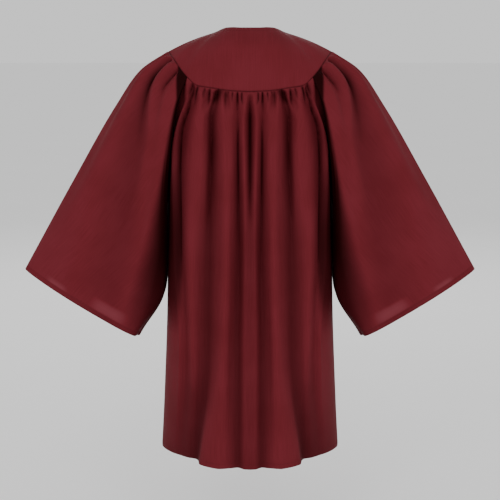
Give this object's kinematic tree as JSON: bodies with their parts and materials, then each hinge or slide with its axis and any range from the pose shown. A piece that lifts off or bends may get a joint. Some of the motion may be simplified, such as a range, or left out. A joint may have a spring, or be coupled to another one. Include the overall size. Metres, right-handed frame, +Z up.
{
  "type": "graduation gown",
  "caption": "Child's graduation gown with a shaped yoke, gathered body, wide bell sleeves, V neck and front zip, filled out as if worn.",
  "frame": {"origin": "on the neck's axis at the height of the shoulders' high points, where a wearer's shoulders hold the gown", "axes": "+Z up, +Y the gown's front with the zip, -Y its back, +X the wearer's right sleeve, -X the wearer's left sleeve"},
  "size_m": [0.73, 0.2341, 0.6856],
  "materials": {
    "maroon_cloth": "smooth matt polyester with a slight sheen",
    "zip_tape": "woven tape, dyed to match",
    "zip_coil": "nylon coil, dyed to match",
    "zip_metal": "enamelled to match"
  },
  "bodies": {
    "gown": {"back_yoke": "maroon_cloth", "front_yoke_left": "maroon_cloth", "front_yoke_right": "maroon_cloth", "back_panel": "maroon_cloth", "front_left": "maroon_cloth", "front_right": "maroon_cloth", "sleeve_left": "maroon_cloth", "sleeve_right": "maroon_cloth", "zip_tape_left": "zip_tape", "zip_tape_right": "zip_tape", "zip_chain": "zip_coil", "slider": "zip_metal"},
    "tab": {"pull_tab": "zip_metal"}
  },
  "joints": [
    {"name": "tab_pivot", "type": "hinge", "parent": "gown", "child": "tab", "pos_m": [0, 0.0856, -0.1034], "axis": [1, 0, 0], "range_deg": [0, 150]}
  ]
}
